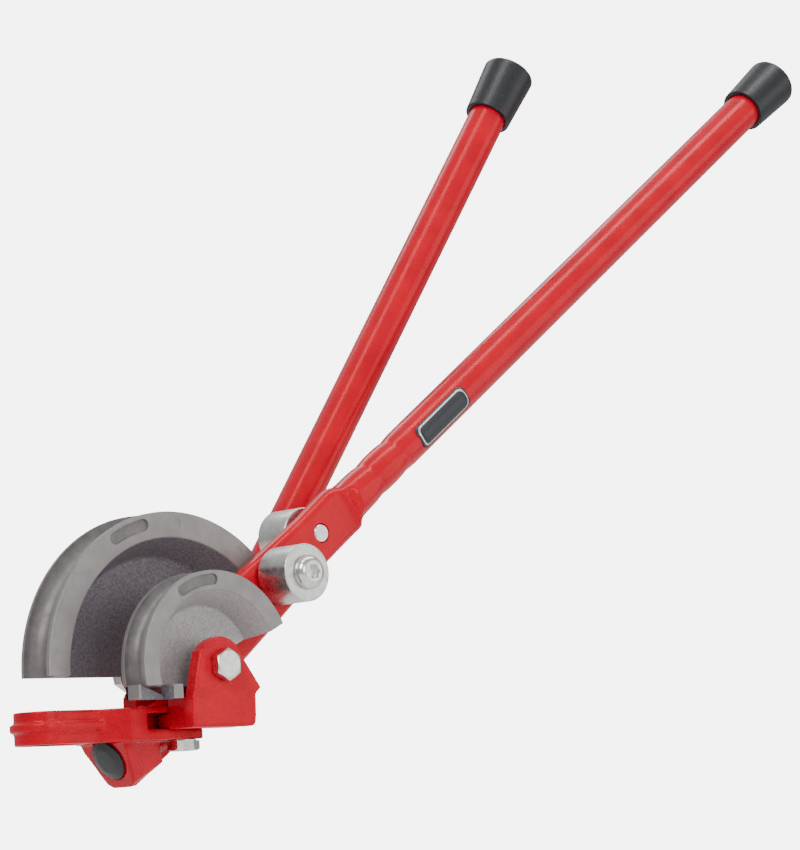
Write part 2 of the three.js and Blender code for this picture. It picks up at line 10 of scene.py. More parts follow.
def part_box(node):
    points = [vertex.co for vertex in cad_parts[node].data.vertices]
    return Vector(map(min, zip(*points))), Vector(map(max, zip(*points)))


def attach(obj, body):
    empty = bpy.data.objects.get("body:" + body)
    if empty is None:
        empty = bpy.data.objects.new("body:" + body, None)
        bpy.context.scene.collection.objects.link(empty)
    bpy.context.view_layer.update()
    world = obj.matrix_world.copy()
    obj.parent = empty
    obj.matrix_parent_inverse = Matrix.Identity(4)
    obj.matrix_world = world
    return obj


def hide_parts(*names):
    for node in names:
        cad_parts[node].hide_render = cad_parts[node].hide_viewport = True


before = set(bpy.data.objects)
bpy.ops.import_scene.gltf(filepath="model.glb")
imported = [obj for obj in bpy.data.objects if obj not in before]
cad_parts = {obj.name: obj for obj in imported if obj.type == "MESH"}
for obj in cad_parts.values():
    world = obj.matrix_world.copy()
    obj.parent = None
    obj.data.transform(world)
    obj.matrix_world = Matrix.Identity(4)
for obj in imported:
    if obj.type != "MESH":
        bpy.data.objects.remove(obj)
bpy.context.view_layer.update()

bl_info = {
    "name": "Tube bender finisher",
    "version": (1, 0, 0),
    "blender": (4, 5, 0),
    "location": "View3D > Sidebar > Tube bender",
    "description": "Builds the visible pieces of a tube bender over its packed CAD frame",
    "category": "Object",
}

MM = 0.001
TURN = 2 * math.pi

# ---- places and sizes shared with the CAD frame, in millimetres ----
# The origin is the pivot bolt head's outer face, +Y runs back along the bending axis, +Z is up.
BOLT_R = 5.15
BUSH_R = 7.5
# A former: radii of its rim, its groove's pipe, its flange's inside and its pocket's floor, then
# the web's thickness, the height of the flat bottom and the angle above +X of the rim's cut end.
SMALL = dict(rim=56.5, pipe=7.5, flange=44.9, web=36.5, web_thick=5, flat=-11, end=26)
BIG = dict(rim=95.5, pipe=11, flange=79.8, web=70, web_thick=6, flat=-2, end=32)
HUB_SMALL = 9.5
HUB_SMALL_FRONT = 15.5
HUB_BIG = 11
FOOT = dict(left=-61.5, right=-28.6, bottom=-18.8, depth=12, wall=1.8, post=7, inset=0.1)
TUBE_R = 12.7
TUBE_WALL = 1.6
SOCKET_START = Vector((-45, 62, -51.5))
SOCKET_ANGLE = 28
HANDLE_FOOT = Vector((70.8, 103.5, 0))
HANDLE_ANGLE = 54.7
HANDLE_LENGTH = 499
CAP = dict(length=41, mouth=15.7, end=17.6, depth=36, fillet=3)
LEVER_ANGLE = 36
LEVER_OFFSET = 4
LEVER_END = 693
LEVER_EYE = 21.5
LEVER_HALF = 6.5
LEVER_EDGE = 5.6
BADGE_AT = 262.5
ROLLER_R = 17.65
FRONT_ROLLER_AT = 88.3
REAR_ROLLER_AT = 134.5
AXLE_R = 6.15
# The M10 screws: thread radius and root, pitch, half the hexagon's width, height of the head.
M10 = dict(shank=5.0, root=4.3, pitch=1.5, flat=8.5, head=6.4)
CHAMFER = math.tan(math.radians(28))


def span(node):
    """Front and back faces of a CAD node along the bending axis, in millimetres."""
    low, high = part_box(node)
    return low.y / MM, high.y / MM


LEVER_FRONT, LEVER_BACK = span("pivot_bush")
LEVER_MIDDLE = (LEVER_FRONT + LEVER_BACK) / 2


def slope(degrees):
    """Unit vector in the X, Z plane at an angle above +X."""
    a = math.radians(degrees)
    return Vector((math.cos(a), 0, math.sin(a)))


def on_lever():
    """Turns what is drawn flat along +X up to the lever's resting angle."""
    return Matrix.Rotation(-math.radians(LEVER_ANGLE), 4, "Y")


def pointing(direction, start):
    """Puts what is drawn along +Y at a point in millimetres, turned to run along a direction."""
    turn = Vector((0, 1, 0)).rotation_difference(direction).to_matrix().to_4x4()
    return Matrix.Translation(start * MM) @ turn


# ---- settings a user would change ----


class EnamelLook(bpy.types.PropertyGroup):
    """Gloss enamel on the frame, bracket, handle and lever."""

    colour: bpy.props.StringProperty(
        name="Colour", description="Enamel colour as sRGB hex", default="#BC0020"
    )
    sheen: bpy.props.StringProperty(
        name="Sheen", description="Highlight colour as sRGB hex", default="#FF8072"
    )
    roughness: bpy.props.FloatProperty(
        name="Roughness",
        description="Roughness of the enamel",
        default=0.2,
        min=0,
        max=1,
        subtype="FACTOR",
    )
    peel_mm: bpy.props.FloatProperty(
        name="Orange peel",
        description="Size of the spray ripple in millimetres",
        default=3.0,
        min=0.5,
    )


class AluminiumLook(bpy.types.PropertyGroup):
    """Die-cast aluminium of the two formers."""

    colour: bpy.props.StringProperty(
        name="Flange colour", description="Flange colour as sRGB hex", default="#8E8A88"
    )
    # The pocket colour is painted shade: darker than the small former's pocket, it also darkens the
    # inside of the foot.
    pocket: bpy.props.StringProperty(
        name="Pocket colour",
        description="Big former's grained pocket as sRGB hex",
        default="#77737A",
    )
    pale_pocket: bpy.props.StringProperty(
        name="Pale pocket",
        description="Small former's grained pocket as sRGB hex",
        default="#A3A09F",
    )
    # The groove colour is darkened as painted shade, in the groove and on the size recess floors.
    groove: bpy.props.StringProperty(
        name="Groove", description="Groove colour as sRGB hex", default="#6C6867"
    )
    grain_mm: bpy.props.FloatProperty(
        name="Grain",
        description="Size of the pocket's cast grain in millimetres",
        default=1.3,
        min=0.2,
    )


class SteelLook(bpy.types.PropertyGroup):
    """Plated screws and turned rollers."""

    zinc: bpy.props.StringProperty(
        name="Zinc", description="Zinc plating colour as sRGB hex", default="#DEDDD7"
    )
    turned: bpy.props.StringProperty(
        name="Roller", description="Turned steel colour as sRGB hex", default="#D2D1CD"
    )
    feed_mm: bpy.props.FloatProperty(
        name="Tool feed",
        description="Spacing of the turning marks in millimetres",
        default=0.35,
        min=0.05,
    )


class VinylLook(bpy.types.PropertyGroup):
    """Moulded end caps and plug."""

    colour: bpy.props.StringProperty(
        name="Colour", description="Vinyl colour as sRGB hex", default="#16171B"
    )
    roughness: bpy.props.FloatProperty(
        name="Roughness",
        description="Roughness of the vinyl",
        default=0.36,
        min=0,
        max=1,
        subtype="FACTOR",
    )


class CastShape(bpy.types.PropertyGroup):
    """How the castings' edges are rounded."""

    voxel: bpy.props.FloatProperty(
        name="Skin cell",
        description="Cell size of the cast skin",
        default=0.0008,
        min=0.0004,
        unit="LENGTH",
    )
    smooth: bpy.props.IntProperty(
        name="Smoothing",
        description="Smoothing passes that round the cast edges",
        default=5,
        min=0,
    )


class StageLook(bpy.types.PropertyGroup):
    """Floor, lights and camera."""

    floor: bpy.props.StringProperty(
        name="Floor", description="Floor colour as sRGB hex", default="#F1F1F0"
    )
    drop: bpy.props.FloatProperty(
        name="Floor drop",
        description="Depth of the floor below the pivot",
        default=0.35,
        min=0.1,
        unit="LENGTH",
    )
    power: bpy.props.FloatProperty(
        name="Light power",
        description="Power of the main softbox in watts",
        default=26.0,
        min=0,
    )


SETTINGS = {
    "bender_enamel": EnamelLook,
    "bender_aluminium": AluminiumLook,
    "bender_steel": SteelLook,
    "bender_vinyl": VinylLook,
    "bender_cast": CastShape,
    "bender_stage": StageLook,
}

# ---- materials ----


def linear(hex_colour):
    """An sRGB hex colour as linear red, green, blue and full alpha."""
    parts = [int(hex_colour[i : i + 2], 16) / 255 for i in (1, 3, 5)]
    return [c / 12.92 if c <= 0.04045 else ((c + 0.055) / 1.055) ** 2.4 for c in parts] + [1.0]


def add(tree, kind, inputs=None, **settings):
    """Adds a node, sets its properties, and fills or links its inputs."""
    made = tree.nodes.new(kind)
    for name, value in settings.items():
        setattr(made, name, value)
    for name, value in (inputs or {}).items():
        if isinstance(value, bpy.types.NodeSocket):
            tree.links.new(value, made.inputs[name])
        else:
            made.inputs[name].default_value = value
    return made


def shade(hex_colour, factor):
    """A hex colour made darker or lighter."""
    parts = [min(255, round(int(hex_colour[i : i + 2], 16) * factor)) for i in (1, 3, 5)]
    return "#" + "".join(f"{p:02X}" for p in parts)


def surface(name, patterns, colour, roughness, relief=(), turning=None, grit=0.55, shader=None):
    """A material whose colour, roughness and relief each follow a pattern of a real size.

    patterns: each pattern's name, with its grain in millimetres and its detail.
    colour: a pattern, and the hex colours in its hollows and on its tops.
    roughness: a pattern, and the roughness in its hollows and on its tops.
    relief: patterns with their depth in millimetres and strength, the one underneath first.
    turning: spacing in millimetres and waviness of the pattern "rings", left by a turning tool.
    shader: what else the Principled shader is told.
    """
    material = bpy.data.materials.new(name)
    material.use_nodes = True
    tree = material.node_tree
    tree.nodes.clear()
    place = add(tree, "ShaderNodeTexCoord").outputs["Object"]
    drawn = {}
    for pattern, (grain_mm, detail) in patterns.items():
        scale = 1 / (grain_mm * MM)
        inputs = {"Vector": place, "Scale": scale, "Detail": detail, "Roughness": grit}
        drawn[pattern] = add(tree, "ShaderNodeTexNoise", inputs).outputs["Fac"]
    if turning:
        spacing_mm, waviness = turning
        scale = TURN / 20 / (spacing_mm * MM)
        inputs = {"Vector": place, "Scale": scale, "Distortion": waviness, "Detail": 2.0}
        bands = {"wave_type": "BANDS", "bands_direction": "Y"}
        drawn["rings"] = add(tree, "ShaderNodeTexWave", inputs, **bands).outputs["Fac"]

    pattern, *tones = colour
    ramp = add(tree, "ShaderNodeValToRGB", {"Fac": drawn[pattern]})
    for stop, position, tone in zip(ramp.color_ramp.elements, (0.3, 0.7), tones):
        stop.position = position
        stop.color = linear(tone)

    pattern, low, high = roughness
    limits = {"From Min": 0.35, "From Max": 0.65, "To Min": low, "To Max": high}
    sheen = add(tree, "ShaderNodeMapRange", {"Value": drawn[pattern], **limits})

    told = {"Base Color": ramp.outputs["Color"], "Roughness": sheen.outputs["Result"]}
    told.update(shader or {})
    for pattern, depth_mm, strength in relief:
        inputs = {"Height": drawn[pattern], "Distance": depth_mm * MM, "Strength": strength}
        if "Normal" in told:
            inputs["Normal"] = told["Normal"]
        told["Normal"] = add(tree, "ShaderNodeBump", inputs).outputs["Normal"]
    principled = add(tree, "ShaderNodeBsdfPrincipled", told)
    add(tree, "ShaderNodeOutputMaterial", {"Surface": principled.outputs["BSDF"]})


def enamel_sprayed_gloss(look):
    """Sprayed and stoved gloss enamel: deep even colour, a wet highlight, faint spray ripple."""
    surface(
        "enamel_sprayed_gloss",
        {"cloud": (24, 3), "haze": (9, 3), "peel": (look.peel_mm, 1)},
        colour=("cloud", shade(look.colour, 0.93), shade(look.colour, 1.03)),
        roughness=("haze", look.roughness - 0.04, look.roughness + 0.06),
        relief=[("peel", 0.012, 0.3)],
        shader={"IOR": 1.55, "Specular Tint": linear(look.sheen)},
    )


def enamel_cast_gloss(look):
    """The same enamel over a sand-textured casting: the grain softens the highlight and pits it."""
    surface(
        "enamel_cast_gloss",
        {"cloud": (14, 3), "ripple": (7, 1), "grain": (1.6, 4)},
        colour=("cloud", shade(look.colour, 0.88), look.colour),
        roughness=("grain", look.roughness, look.roughness + 0.14),
        relief=[("ripple", 0.08, 0.5), ("grain", 0.015, 0.5)],
        shader={"IOR": 1.55, "Specular Tint": linear(look.sheen)},
    )


def aluminium_diecast_tumbled(look):
    """Die-cast and tumbled aluminium: satin grey with a fine even peen and soft clouding."""
    surface(
        "aluminium_diecast_tumbled",
        {"cloud": (11, 3), "peen": (0.8, 2)},
        colour=("cloud", shade(look.colour, 0.9), look.colour),
        roughness=("peen", 0.42, 0.56),
        relief=[("peen", 0.05, 0.4)],
        shader={"Metallic": 0.55},
    )


def cast_grain(name, look, colour, contrast):
    """Die-cast aluminium with the die's pebble grain: each pebble is paler and smoother on top."""
    surface(
        name,
        {"pebble": (look.grain_mm, 2.5)},
        colour=("pebble", shade(colour, 1 - contrast), shade(colour, 1 + contrast / 2)),
        roughness=("pebble", 0.62, 0.48),
        relief=[("pebble", 0.3, 0.8)],
        grit=0.6,
        shader={"Metallic": 0.45},
    )


def aluminium_grained_painted_shade(look):
    """Pebbled as-cast grain darkened as painted shade, for the big former's pocket and the inside
    of the foot: dull lead grey, with small glints.
    """
    cast_grain("aluminium_grained_painted_shade", look, look.pocket, 0.2)


def aluminium_diecast_pebbled(look):
    """As-cast pocket of the small former: the same grain, paler, without the big former's painted
    shade.
    """
    cast_grain("aluminium_diecast_pebbled", look, look.pale_pocket, 0.1)


def aluminium_turned_painted_shade(look):
    """Groove turned in the casting: a soft satin sheen drawn out along fine rings, on a colour
    darkened as painted shade, which also shades the size recess floors.
    """
    # A real tool feeds about 0.2 mm a turn; the rings are as coarse as they need to be to show.
    surface(
        "aluminium_turned_painted_shade",
        {"cloud": (8, 3), "haze": (3, 3)},
        turning=(0.6, 1.2),
        colour=("cloud", shade(look.groove, 0.92), shade(look.groove, 1.08)),
        roughness=("haze", 0.42, 0.52),
        relief=[("rings", 0.012, 0.35)],
        shader={"Metallic": 0.55},
    )


def steel_zinc_plated(look):
    """Bright zinc over rolled steel: silvery, faintly clouded, with soft-edged reflections."""
    surface(
        "steel_zinc_plated",
        {"cloud": (4, 3), "haze": (1.2, 3), "rolling": (1.6, 1)},
        colour=("cloud", shade(look.zinc, 0.9), shade(look.zinc, 1.04)),
        roughness=("haze", 0.17, 0.26),
        relief=[("rolling", 0.004, 0.3)],
        shader={"Metallic": 1.0},
    )


def steel_turned(look):
    """Rollers turned from bar: rings of tool marks stretch the highlight across the barrel."""
    surface(
        "steel_turned",
        {"cloud": (5, 3), "haze": (2, 3)},
        turning=(look.feed_mm, 0.8),
        colour=("cloud", shade(look.turned, 0.92), shade(look.turned, 1.04)),
        roughness=("haze", 0.26, 0.4),
        relief=[("rings", 0.01, 0.4)],
        shader={"Metallic": 1.0},
    )


def bronze_sintered():
    """Oil-filled sintered bronze: brown-gold with fine open pores."""
    # Real pores are under a tenth of a millimetre; these are as coarse as they need to be to show.
    surface(
        "bronze_sintered",
        {"pores": (0.4, 3)},
        colour=("pores", "#7C5A30", "#B08A52"),
        roughness=("pores", 0.35, 0.5),
        relief=[("pores", 0.02, 0.5)],
        shader={"Metallic": 1.0},
    )


def vinyl_dip_moulded(look):
    """Dip-moulded vinyl: near black, soft-edged sheen and a faint skin ripple."""
    surface(
        "vinyl_dip_moulded",
        {"cloud": (9, 3), "skin": (1.4, 2)},
        colour=("cloud", shade(look.colour, 0.85), shade(look.colour, 1.08)),
        roughness=("skin", look.roughness - 0.05, look.roughness + 0.1),
        relief=[("skin", 0.05, 0.35)],
        shader={"IOR": 1.5},
    )


def nylon_moulded():
    """The locking ring's natural nylon: milky and waxy."""
    surface(
        "nylon_moulded",
        {"cloud": (2, 3), "wax": (1, 3)},
        colour=("cloud", "#D8D5C6", "#E6E3D6"),
        roughness=("wax", 0.35, 0.5),
        shader={"IOR": 1.53},
    )


def plate_black_anodised():
    """Black anodised nameplate aluminium: dense black with a dry fine-brushed sheen."""
    surface(
        "plate_black_anodised",
        {"brushing": (0.5, 2)},
        colour=("brushing", "#1A1B1F", "#26272C"),
        roughness=("brushing", 0.35, 0.5),
        relief=[("brushing", 0.01, 0.3)],
        shader={"IOR": 1.5},
    )


def plate_bare_aluminium():
    """Bare raised nameplate border, polished by the die."""
    surface(
        "plate_bare_aluminium",
        {"cloud": (1.5, 3), "haze": (0.8, 3)},
        colour=("cloud", "#C9C9C6", "#E2E2DE"),
        roughness=("haze", 0.25, 0.35),
        shader={"Metallic": 0.9},
    )


def floor_painted_pale(look):
    """Painted studio floor: matt and pale, with only the roller's faint mottling."""
    surface(
        "floor_painted_pale",
        {"mottle": (60, 3), "haze": (20, 3)},
        colour=("mottle", shade(look.floor, 0.985), look.floor),
        roughness=("haze", 0.7, 0.8),
    )


# Each finish, with the group of settings that it reads.
FINISHES = (
    (enamel_sprayed_gloss, "bender_enamel"),
    (enamel_cast_gloss, "bender_enamel"),
    (aluminium_diecast_tumbled, "bender_aluminium"),
    (aluminium_grained_painted_shade, "bender_aluminium"),
    (aluminium_diecast_pebbled, "bender_aluminium"),
    (aluminium_turned_painted_shade, "bender_aluminium"),
    (steel_zinc_plated, "bender_steel"),
    (steel_turned, "bender_steel"),
    (bronze_sintered, None),
    (vinyl_dip_moulded, "bender_vinyl"),
    (nylon_moulded, None),
    (plate_black_anodised, None),
    (plate_bare_aluminium, None),
    (floor_painted_pale, "bender_stage"),
)


def finish(name):
    """A finish by name, made from the scene's settings the first time it is asked for."""
    if name not in bpy.data.materials:
        maker, settings = next(row for row in FINISHES if row[0].__name__ == name)
        maker(*([getattr(bpy.context.scene, settings)] if settings else []))
    return bpy.data.materials[name]


# ---- mesh tools ----


def rounded(corners, steps=4):
    """A closed outline from (x, y, radius) corners, each eased round by its radius."""
    outline = []
    for i, (x, y, radius) in enumerate(corners):
        corner = Vector((x, y))
        back = Vector(corners[i - 1][:2]) - corner
        on = Vector(corners[(i + 1) % len(corners)][:2]) - corner
        if radius <= 0:
            outline.append(corner)
            continue
        reach = min(radius / math.tan(back.angle(on) / 2), 0.45 * back.length, 0.45 * on.length)
        start = corner + back.normalized() * reach
        end = corner + on.normalized() * reach
        for k in range(steps + 1):
            t = k / steps
            outline.append((1 - t) ** 2 * start + 2 * t * (1 - t) * corner + t * t * end)
    return outline


def skin(bm, rings, closed_along=False, material=0):
    """Faces between successive rings of vertices."""
    count = len(rings[0])
    pairs = list(zip(rings, rings[1:]))
    if closed_along:
        pairs.append((rings[-1], rings[0]))
    for one, two in pairs:
        for i in range(count):
            j = (i + 1) % count
            bm.faces.new((one[i], one[j], two[j], two[i])).material_index = material


def closed(bm):
    """The part with doubled points merged and its faces turned outwards."""
    bmesh.ops.remove_doubles(bm, verts=bm.verts, dist=0.0005 * MM)
    bmesh.ops.recalc_face_normals(bm, faces=bm.faces)
    return bm


def placed(bm, matrix):
    """The part moved by a matrix."""
    bmesh.ops.transform(bm, matrix=matrix, verts=bm.verts)
    return bm


def turned(outline, sides, start=0.0, sweep=360.0):
    """A closed outline of (radius, depth) turned about the Y axis, whole or through a part."""
    bm = bmesh.new()
    whole = sweep >= 360
    rings = []
    for k in range(sides if whole else sides + 1):
        a = math.radians(start + sweep * k / sides)
        points = [(r * math.cos(a) * MM, y * MM, r * math.sin(a) * MM) for r, y in outline]
        rings.append([bm.verts.new(point) for point in points])
    skin(bm, rings, closed_along=whole)
    if not whole:
        bm.faces.new(rings[0])
        bm.faces.new(rings[-1])
    return closed(bm)


def hexagon(flat):
    """Radius of a hexagon, a corner at the top, as a function of the angle from +X."""
    sixth = math.pi / 3
    return lambda a: flat / math.cos((a + sixth / 2) % sixth - sixth / 2)


def stacked(levels, sides):
    """A solid about the Y axis from (radius, depth) levels, each a number or function of angle."""
    bm = bmesh.new()
    rings = []
    for radius, depth in levels:
        ring = []
        for k in range(sides):
            a = TURN * k / sides
            r = radius(a) if callable(radius) else radius
            y = depth(a) if callable(depth) else depth
            ring.append(bm.verts.new((r * math.cos(a) * MM, y * MM, r * math.sin(a) * MM)))
        rings.append(ring)
    skin(bm, rings)
    return closed(bm)


def swept_tube(points, outer, inner, sides=64):
    """A tube with a wall along a list of points, its ends cut square."""
    bm = bmesh.new()
    outside = []
    inside = []
    across = Vector((0, 1, 0))
    angles = [TURN * k / sides for k in range(sides)]
    for i, point in enumerate(points):
        ahead = points[min(i + 1, len(points) - 1)] - points[max(i - 1, 0)]
        ahead.normalize()
        across = (across - ahead * across.dot(ahead)).normalized()
        other = ahead.cross(across)
        spokes = [math.cos(a) * across + math.sin(a) * other for a in angles]
        for rings, radius in ((outside, outer), (inside, inner)):
            rings.append([bm.verts.new((point + radius * spoke) * MM) for spoke in spokes])
    skin(bm, outside)
    skin(bm, inside)
    skin(bm, [outside[0], inside[0]])
    skin(bm, [outside[-1], inside[-1]])
    bmesh.ops.recalc_face_normals(bm, faces=bm.faces)
    return bm


def block(x0, x1, y0, y1, z0, z1):
    """A box between two corners, in millimetres."""
    bm = bmesh.new()
    bmesh.ops.create_cube(bm, size=1)
    size = Vector((x1 - x0, y1 - y0, z1 - z0)) * MM
    middle = Vector((x0 + x1, y0 + y1, z0 + z1)) / 2 * MM
    bmesh.ops.scale(bm, vec=size, verts=bm.verts)
    bmesh.ops.translate(bm, vec=middle, verts=bm.verts)
    return bm


def prism(outline, y0, y1):
    """An X, Z outline given depth along Y."""
    bm = bmesh.new()
    rings = [[bm.verts.new((x * MM, y * MM, z * MM)) for x, z in outline] for y in (y0, y1)]
    skin(bm, rings)
    for ring in rings:
        bm.faces.new(ring)
    bmesh.ops.recalc_face_normals(bm, faces=bm.faces)
    return bm


def merged(*parts):
    """Several mesh parts as one, the first one's faces first."""
    mesh = bpy.data.meshes.new("merging")
    bm = bmesh.new()
    for part in parts:
        part.to_mesh(mesh)
        part.free()
        bm.from_mesh(mesh)
    bpy.data.meshes.remove(mesh)
    return bm


def as_object(name, bm):
    """Links a new object that holds a mesh part, and frees the part."""
    made = bpy.data.objects.new(name, bpy.data.meshes.new(name))
    bm.to_mesh(made.data)
    bm.free()
    bpy.context.scene.collection.objects.link(made)
    return made


def applied(made):
    """The mesh part that an object's modifiers make of it; the object itself is removed."""
    graph = bpy.context.evaluated_depsgraph_get()
    mesh = bpy.data.meshes.new_from_object(made.evaluated_get(graph))
    bm = bmesh.new()
    bm.from_mesh(mesh)
    bpy.data.meshes.remove(mesh)
    bpy.data.objects.remove(made)
    return bm


def carved(bm, cutters):
    """The part with each cutter's shape cut out of it."""
    base = as_object("carving", bm)
    tool = as_object("cutter", merged(*cutters))
    cut = base.modifiers.new("cut", "BOOLEAN")
    cut.object = tool
    cut.operation = "DIFFERENCE"
    cut.solver = "EXACT"
    result = applied(base)
    bpy.data.objects.remove(tool)
    return result


def piece(name, bm, finishes, body, stands_for=(), sharp=40, edge_mm=0.0):
    """Makes an object of a mesh part, with its finishes, and ties it to the frame."""
    made = as_object(name, bm)
    for material in finishes:
        made.data.materials.append(finish(material))
    made.data.shade_smooth()
    made.data.set_sharp_from_angle(angle=math.radians(sharp))
    if edge_mm:
        edge = made.modifiers.new("broken_edge", "BEVEL")
        edge.width = edge_mm * MM
        edge.segments = 2
        edge.limit_method = "ANGLE"
        edge.angle_limit = math.radians(sharp)
        edge.harden_normals = True
    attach(made, body)
    if stands_for:
        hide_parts(*stands_for)


def enamelled(name, bm, body, node, sharp=50):
    """A sprayed red piece that stands for one node."""
    piece(name, bm, ["enamel_sprayed_gloss"], body, [node], sharp)


def vinyl(name, bm, body, node, sharp=60):
    """A moulded black piece that stands for one node."""
    piece(name, bm, ["vinyl_dip_moulded"], body, [node], sharp)


def plated(name, bm, body, node, sharp=30):
    """A zinc-plated piece that stands for one node."""
    piece(name, bm, ["steel_zinc_plated"], body, [node], sharp)


# ---- formers ----


def former_outline(former, front, back, inner):
    """Section of a former's sector, as (radius, depth): grooved rim, flange, pocket wall, web."""
    rim, pipe = former["rim"], former["pipe"]
    middle = (front + back) / 2
    groove = []
    steps = 16
    for k in range(steps + 1):
        a = math.pi * k / steps
        groove.append(Vector((rim - pipe * math.sin(a), middle - pipe * math.cos(a))))
    web = back - former["web_thick"]
    front_part = rounded(
        [
            (inner, web, 0),
            (former["web"], web, 2.5),
            (former["flange"], front, 1.0),
            (rim, front, 0.8),
            (rim, middle - pipe, 0.4),
        ]
    )
    back_part = rounded([(rim, middle + pipe, 0.4), (rim, back, 0.8), (inner, back, 0)])
    return front_part[:-2] + groove + back_part[2:]


def former_sector(former, inner):
    """The half-round part of a former, cut flat below and square at its end."""
    front, back = former["front"], former["back"]
    past = math.degrees(math.asin(min(0.95, -former["flat"] / inner)))
    sweep = 180 + past - former["end"]
    bm = turned(former_outline(former, front, back, inner), 200, former["end"], sweep)
    cut = bmesh.ops.bisect_plane(
        bm,
        geom=bm.verts[:] + bm.edges[:] + bm.faces[:],
        plane_co=(0, 0, former["flat"] * MM),
        plane_no=(0, 0, -1),
        clear_outer=True,
        dist=1e-7,
    )
    edges = [e for e in cut["geom_cut"] if isinstance(e, bmesh.types.BMEdge)]
    bmesh.ops.holes_fill(bm, edges=edges)
    bmesh.ops.recalc_face_normals(bm, faces=bm.faces)
    return bm


def mark_finishes_and_shade(bm, former):
    """Grained skin in the pocket, turned rings darkened as painted shade in groove and recess,
    tumbled elsewhere.

    The small allowances keep faces that lie on an edge with the skin outside it.
    """
    front, back, flange, pipe = (former[key] for key in ("front", "back", "flange", "pipe"))
    middle = (front + back) / 2
    for face in bm.faces:
        centre = face.calc_center_median() / MM
        r = math.hypot(centre.x, centre.z)
        outward = face.normal.dot(Vector((centre.x, 0, centre.z)).normalized())
        on_flat = abs(centre.z - former["flat"]) <= 0.1
        in_pocket = r < flange - 0.3 and front + 0.5 < centre.y < back - 0.5 and not on_flat
        in_groove = r > former["rim"] - pipe - 1 and abs(centre.y - middle) < pipe + 0.2
        in_recess = r > flange and 0.3 < centre.y - front < 2 and face.normal.y < -0.5
        if in_pocket:
            face.material_index = 1
        # The groove and the recess floor take the darker turned material as painted shade.
        elif in_recess or (in_groove and outward > 0.02):
            face.material_index = 2


def paint_foot_shade(bm, front):
    """Painted shade inside the foot: its inner faces take the darker grained material."""
    for face in bm.faces:
        centre = face.calc_center_median() / MM
        across = FOOT["left"] + 1 < centre.x < FOOT["right"] - FOOT["post"] + 0.1
        if across and front + 1 < centre.y < front + FOOT["depth"] - 1:
            face.material_index = 3


def size_recess(front, radius, angle, half_length, half_width, depth=1.1):
    """Cutter for a long oval recess that follows the flange."""
    outline = []
    arc_steps, end_steps = 10, 6
    half = math.degrees(half_length / radius)
    for side in (1, -1):
        for k in range(arc_steps + 1):
            a = math.radians(angle - side * half * (2 * k / arc_steps - 1))
            r = radius + side * half_width
            outline.append((r * math.cos(a), r * math.sin(a)))
        tip = math.radians(angle - side * half)
        middle = Vector((radius * math.cos(tip), radius * math.sin(tip)))
        spoke = Vector((math.cos(tip), math.sin(tip))) * half_width
        along = Vector((math.sin(tip), -math.cos(tip))) * half_width * side
        for k in range(1, end_steps):
            b = math.pi * k / end_steps
            outline.append(tuple(middle + spoke * math.cos(b) * side + along * math.sin(b)))
    return prism(outline, front - 1, front + depth)


def ejector_mark(front, angle, at=88, radius=3.2, depth=0.25):
    """Cutter for the shallow round witness that an ejector pin leaves on the flange."""
    disc = [(0, front - 1), (radius, front - 1), (radius, front + depth), (0, front + depth)]
    return placed(turned(disc, 24), Matrix.Translation(slope(angle) * at * MM))


def hub(radius, front, back):
    """The bored boss at a former's centre."""
    wall = [(BOLT_R, front, 0.3), (radius, front, 0.8), (radius, back, 0.4), (BOLT_R, back, 0.3)]
    return turned(rounded(wall), 64)


def foot_walls(front):
    """The open box under the small former: a thin post, a thick one, a back with a slanted gap."""
    left, right, bottom, flat = FOOT["left"], FOOT["right"], FOOT["bottom"], SMALL["flat"]
    back = front + FOOT["depth"]
    top = flat + 0.5
    gap = right - FOOT["post"]
    slant = [(gap, flat - 5.5), (gap - 14, flat)]
    return [
        block(left, left + FOOT["wall"], front, back, bottom, top),
        block(gap, right, front, back, bottom, top),
        prism([(left, bottom), (gap, bottom), *slant, (left, flat)], back - FOOT["wall"], back),
    ]


def small_former_piece():
    """The front former: grooved sector with its size recess, hub and foot."""
    front, back = span("small_former")
    former = dict(SMALL, front=front, back=back)
    recess = size_recess(front, radius=51, angle=106, half_length=12.5, half_width=3.4)
    sector = carved(former_sector(former, HUB_SMALL - 2), [recess])
    mark_finishes_and_shade(sector, former)
    foot = merged(*foot_walls(front + FOOT["inset"]))
    paint_foot_shade(foot, front)
    bm = merged(sector, hub(HUB_SMALL, HUB_SMALL_FRONT, back), foot)
    # The fourth finish paints shade inside the foot; the third darkens groove and recess as painted
    # shade.
    finishes = [
        "aluminium_diecast_tumbled",
        "aluminium_diecast_pebbled",
        "aluminium_turned_painted_shade",
        "aluminium_grained_painted_shade",
    ]
    node = "small_former"
    piece(f"{node}_cast", bm, finishes, "frame", [node], sharp=35, edge_mm=0.35)


def big_former_piece():
    """The rear former: grooved sector with its size recess and ejector marks, and its hub."""
    front, back = span("big_former")
    former = dict(BIG, front=front, back=back)
    recess = size_recess(front, radius=89.3, angle=111, half_length=11.7, half_width=3.8)
    marks = [ejector_mark(front, angle) for angle in (87.4, 54.6)]
    sector = carved(former_sector(former, HUB_BIG - 2), [recess, *marks])
    mark_finishes_and_shade(sector, former)
    bm = merged(sector, hub(HUB_BIG, front, back))
    # The second finish darkens the pocket as painted shade; the third darkens groove and recess as
    # painted shade.
    finishes = [
        "aluminium_diecast_tumbled",
        "aluminium_grained_painted_shade",
        "aluminium_turned_painted_shade",
    ]
    node = "big_former"
    piece(f"{node}_cast", bm, finishes, "frame", [node], sharp=35, edge_mm=0.35)


# ---- castings ----


